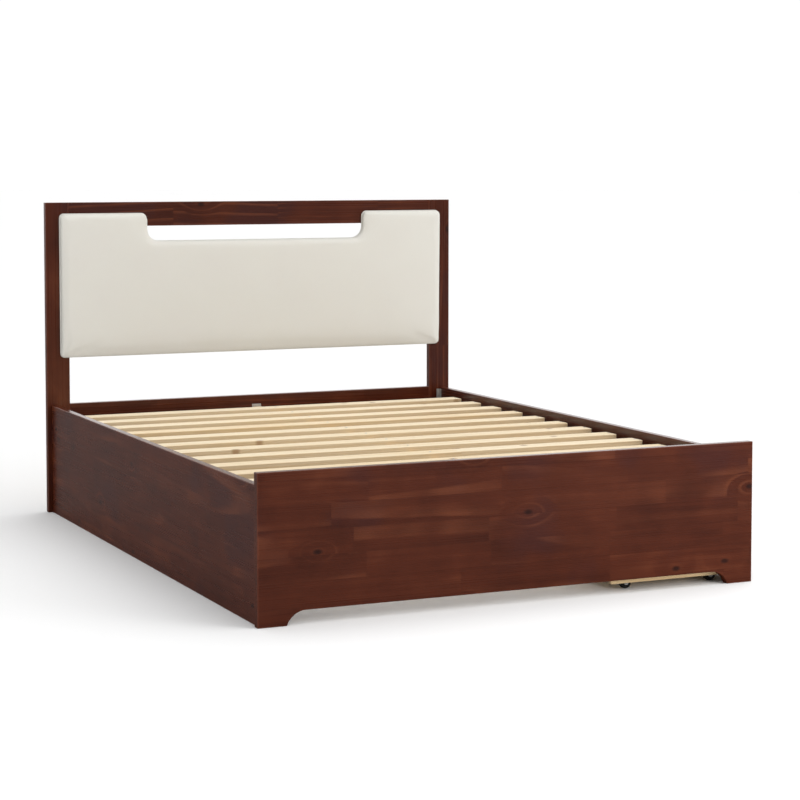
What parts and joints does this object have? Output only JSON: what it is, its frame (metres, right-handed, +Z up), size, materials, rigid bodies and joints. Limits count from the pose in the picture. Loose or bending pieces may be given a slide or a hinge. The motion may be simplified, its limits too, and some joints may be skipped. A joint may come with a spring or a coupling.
{
  "type": "platform bed with storage drawers",
  "caption": "Low wooden platform bed with a padded headboard, a slatted deck, bracket feet at the footboard, and storage drawers that roll out of one side on castors.",
  "frame": {"origin": "on the floor, under the middle of the bed's bounding box", "axes": "+Y from the footboard to the headboard, +X the side the drawers come out of, +Z up"},
  "size_m": [1.615, 2.159, 1.126],
  "materials": {
    "walnut_stain": "satin lacquer over red-brown stain",
    "bare_pine": "planed, no finish",
    "plywood": "sanded, no finish",
    "cream_fabric": "plain weave linen look",
    "zinc_steel": "bright zinc",
    "black_wheel": "moulded nylon"
  },
  "bodies": {
    "frame": {"footboard": "walnut_stain", "headboard_left_post": "walnut_stain", "headboard_right_post": "walnut_stain", "headboard_top_rail": "walnut_stain", "headboard_lower_rail": "walnut_stain", "left_side_panel": "walnut_stain", "right_side_rail": "walnut_stain", "right_rail_divider": "walnut_stain", "left_slat_ledger": "walnut_stain", "right_slat_ledger": "walnut_stain", "headboard_pad": "cream_fabric", "headboard_pad_board": "plywood", "centre_beam": "bare_pine", "centre_leg_1": "bare_pine", "centre_leg_2": "bare_pine", "centre_leg_3": "bare_pine", "slat_01": "bare_pine", "slat_02": "bare_pine", "slat_03": "bare_pine", "slat_04": "bare_pine", "slat_05": "bare_pine", "slat_06": "bare_pine", "slat_07": "bare_pine", "slat_08": "bare_pine", "slat_09": "bare_pine", "slat_10": "bare_pine", "slat_11": "bare_pine", "slat_12": "bare_pine", "beam_seat_head": "zinc_steel", "beam_seat_foot": "zinc_steel", "corner_angle_foot_left": "zinc_steel", "corner_angle_foot_right": "zinc_steel", "corner_angle_head_left": "zinc_steel", "corner_angle_head_right": "zinc_steel"},
    "drawer_foot": {"drawer_foot_front": "walnut_stain", "drawer_foot_side_near_foot": "plywood", "drawer_foot_side_near_head": "plywood", "drawer_foot_back": "plywood", "drawer_foot_floor": "plywood", "drawer_foot_fork_back_near_foot": "zinc_steel", "drawer_foot_fork_back_near_head": "zinc_steel", "drawer_foot_fork_front_near_foot": "zinc_steel", "drawer_foot_fork_front_near_head": "zinc_steel"},
    "drawer_foot_wheel_back_near_foot": {"drawer_foot_wheel_back_near_foot": "black_wheel"},
    "drawer_foot_wheel_back_near_head": {"drawer_foot_wheel_back_near_head": "black_wheel"},
    "drawer_foot_wheel_front_near_foot": {"drawer_foot_wheel_front_near_foot": "black_wheel"},
    "drawer_foot_wheel_front_near_head": {"drawer_foot_wheel_front_near_head": "black_wheel"},
    "drawer_head": {"drawer_head_front": "walnut_stain", "drawer_head_side_near_foot": "plywood", "drawer_head_side_near_head": "plywood", "drawer_head_back": "plywood", "drawer_head_floor": "plywood", "drawer_head_fork_back_near_foot": "zinc_steel", "drawer_head_fork_back_near_head": "zinc_steel", "drawer_head_fork_front_near_foot": "zinc_steel", "drawer_head_fork_front_near_head": "zinc_steel"},
    "drawer_head_wheel_back_near_foot": {"drawer_head_wheel_back_near_foot": "black_wheel"},
    "drawer_head_wheel_back_near_head": {"drawer_head_wheel_back_near_head": "black_wheel"},
    "drawer_head_wheel_front_near_foot": {"drawer_head_wheel_front_near_foot": "black_wheel"},
    "drawer_head_wheel_front_near_head": {"drawer_head_wheel_front_near_head": "black_wheel"}
  },
  "joints": [
    {"name": "drawer_foot_slide", "type": "slide", "parent": "frame", "child": "drawer_foot", "axis": [1, 0, 0], "range_m": [0, 0.43]},
    {"name": "drawer_foot_wheel_back_near_foot_roll", "type": "hinge", "parent": "drawer_foot", "child": "drawer_foot_wheel_back_near_foot", "pos_m": [0.397, -1.0095, 0.019], "axis": [0, 1, 0], "continuous": true},
    {"name": "drawer_foot_wheel_back_near_head_roll", "type": "hinge", "parent": "drawer_foot", "child": "drawer_foot_wheel_back_near_head", "pos_m": [0.397, -0.065, 0.019], "axis": [0, 1, 0], "continuous": true},
    {"name": "drawer_foot_wheel_front_near_foot_roll", "type": "hinge", "parent": "drawer_foot", "child": "drawer_foot_wheel_front_near_foot", "pos_m": [0.693, -1.0095, 0.019], "axis": [0, 1, 0], "continuous": true},
    {"name": "drawer_foot_wheel_front_near_head_roll", "type": "hinge", "parent": "drawer_foot", "child": "drawer_foot_wheel_front_near_head", "pos_m": [0.693, -0.065, 0.019], "axis": [0, 1, 0], "continuous": true},
    {"name": "drawer_head_slide", "type": "slide", "parent": "frame", "child": "drawer_head", "axis": [1, 0, 0], "range_m": [0, 0.43]},
    {"name": "drawer_head_wheel_back_near_foot_roll", "type": "hinge", "parent": "drawer_head", "child": "drawer_head_wheel_back_near_foot", "pos_m": [0.397, 0.065, 0.019], "axis": [0, 1, 0], "continuous": true},
    {"name": "drawer_head_wheel_back_near_head_roll", "type": "hinge", "parent": "drawer_head", "child": "drawer_head_wheel_back_near_head", "pos_m": [0.397, 1.0095, 0.019], "axis": [0, 1, 0], "continuous": true},
    {"name": "drawer_head_wheel_front_near_foot_roll", "type": "hinge", "parent": "drawer_head", "child": "drawer_head_wheel_front_near_foot", "pos_m": [0.693, 0.065, 0.019], "axis": [0, 1, 0], "continuous": true},
    {"name": "drawer_head_wheel_front_near_head_roll", "type": "hinge", "parent": "drawer_head", "child": "drawer_head_wheel_front_near_head", "pos_m": [0.693, 1.0095, 0.019], "axis": [0, 1, 0], "continuous": true}
  ],
  "couplings": [
    {"joint": "drawer_foot_wheel_back_near_foot_roll", "follows": "drawer_foot_slide", "rad_per_m": 52.632},
    {"joint": "drawer_foot_wheel_back_near_head_roll", "follows": "drawer_foot_slide", "rad_per_m": 52.632},
    {"joint": "drawer_foot_wheel_front_near_foot_roll", "follows": "drawer_foot_slide", "rad_per_m": 52.632},
    {"joint": "drawer_foot_wheel_front_near_head_roll", "follows": "drawer_foot_slide", "rad_per_m": 52.632},
    {"joint": "drawer_head_wheel_back_near_foot_roll", "follows": "drawer_head_slide", "rad_per_m": 52.632},
    {"joint": "drawer_head_wheel_back_near_head_roll", "follows": "drawer_head_slide", "rad_per_m": 52.632},
    {"joint": "drawer_head_wheel_front_near_foot_roll", "follows": "drawer_head_slide", "rad_per_m": 52.632},
    {"joint": "drawer_head_wheel_front_near_head_roll", "follows": "drawer_head_slide", "rad_per_m": 52.632}
  ]
}
